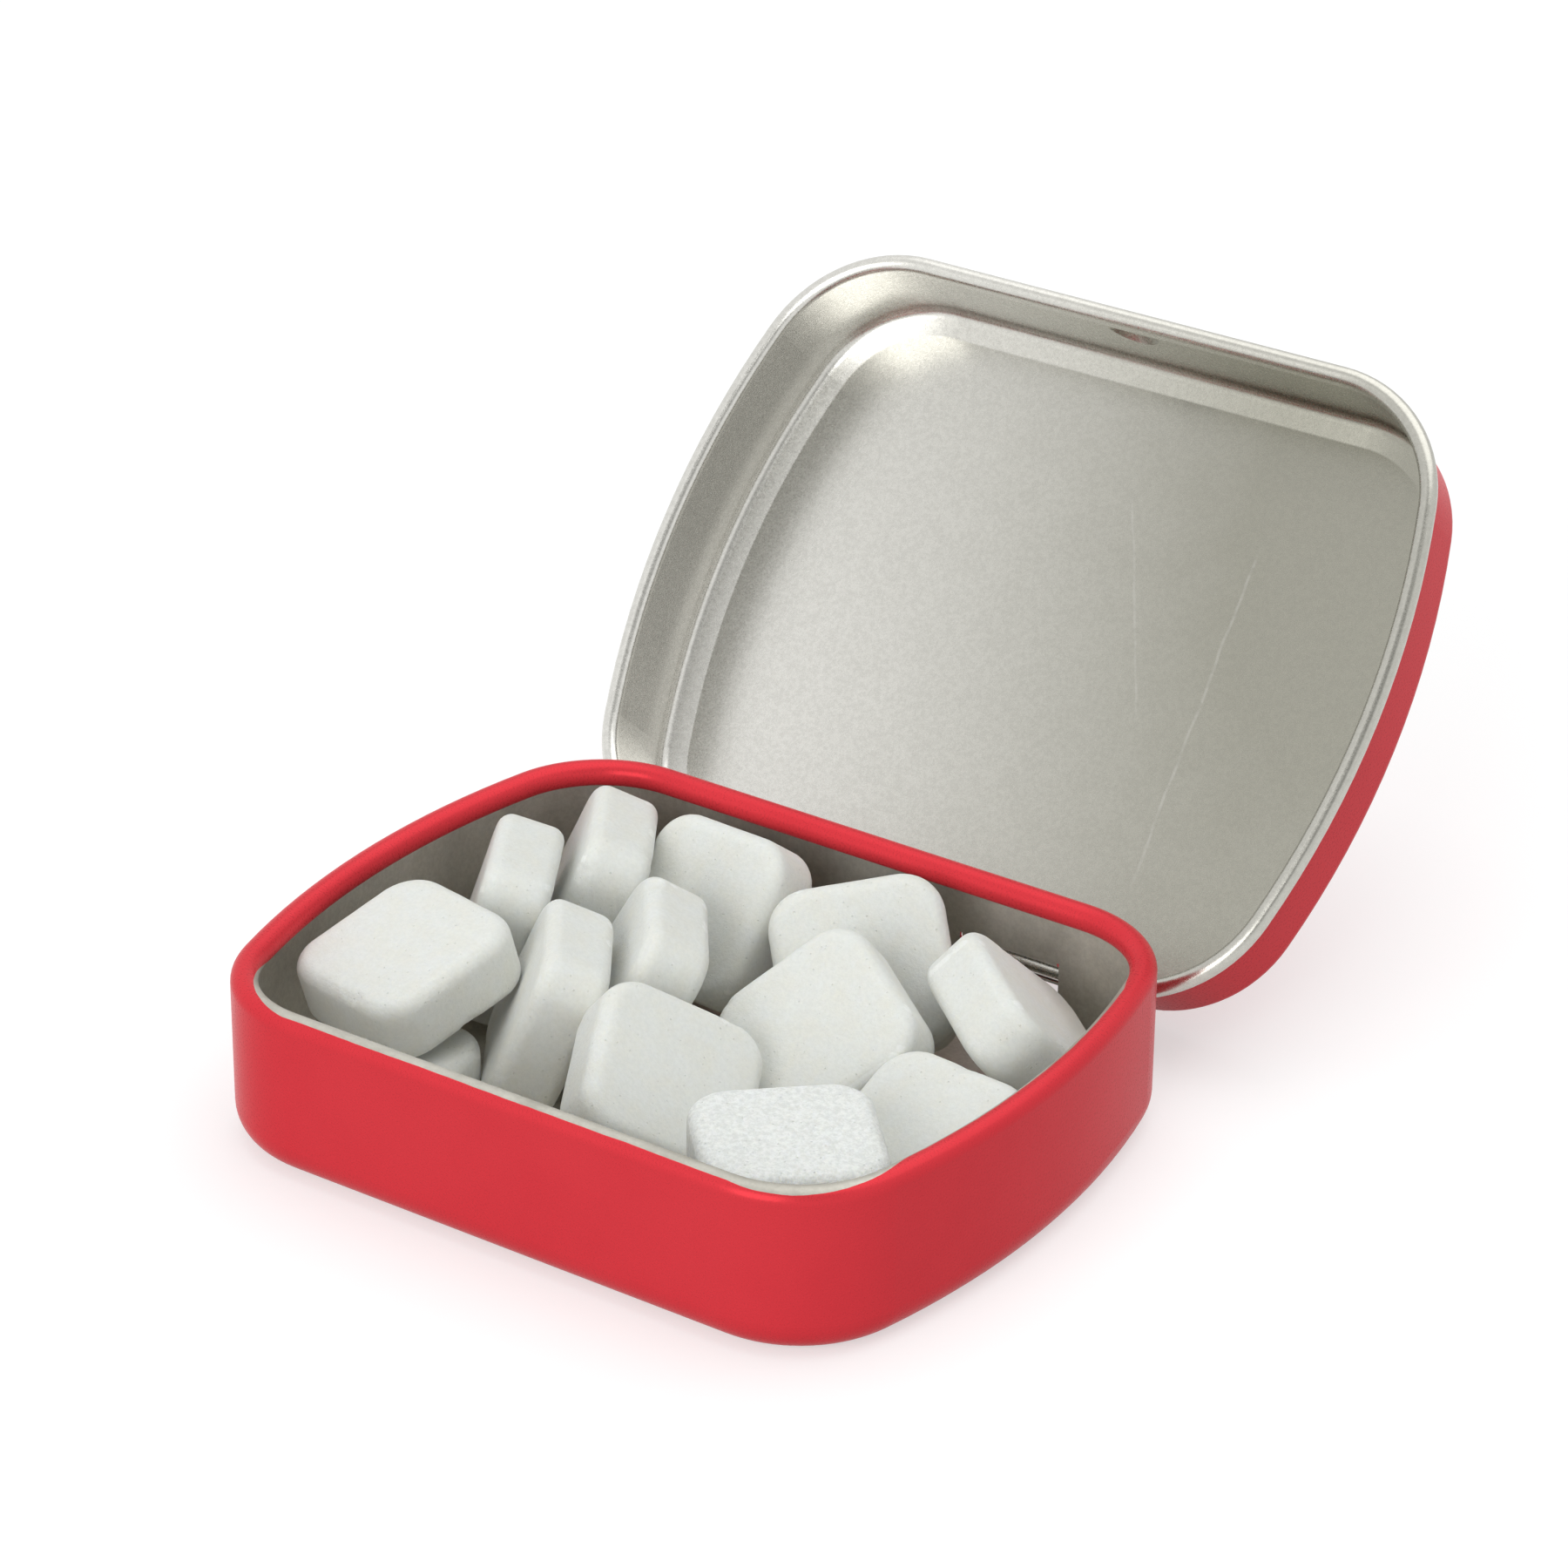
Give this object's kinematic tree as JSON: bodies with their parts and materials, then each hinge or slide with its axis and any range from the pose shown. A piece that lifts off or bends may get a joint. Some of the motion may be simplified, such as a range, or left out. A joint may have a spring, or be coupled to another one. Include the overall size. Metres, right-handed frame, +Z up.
{
  "type": "hinged mint tin",
  "caption": "Small pressed tinplate box with bowed ends, a hinged lid with a rolled bead, and loose square mints.",
  "frame": {"origin": "centre of the tray's underside", "axes": "+X along the hinge, +Y from the front of the tray towards the hinge, +Z up"},
  "size_m": [0.0606, 0.0828, 0.0413],
  "materials": {
    "red_tinplate": "gloss red lacquer outside, bare satin tin inside",
    "mint": "matt pressed sugar, fine grain"
  },
  "bodies": {
    "tin_tray": {"tray": "red_tinplate", "mint_01": "mint", "mint_02": "mint", "mint_03": "mint", "mint_04": "mint", "mint_05": "mint", "mint_06": "mint", "mint_07": "mint", "mint_08": "mint", "mint_09": "mint", "mint_10": "mint", "mint_11": "mint", "mint_12": "mint", "mint_13": "mint", "mint_14": "mint"},
    "tin_lid": {"lid": "red_tinplate"}
  },
  "joints": [
    {"name": "lid_hinge", "type": "hinge", "parent": "tin_tray", "child": "tin_lid", "pos_m": [0, 0.0235, 0.0055], "axis": [1, 0, 0], "range_deg": [0, 132]}
  ]
}
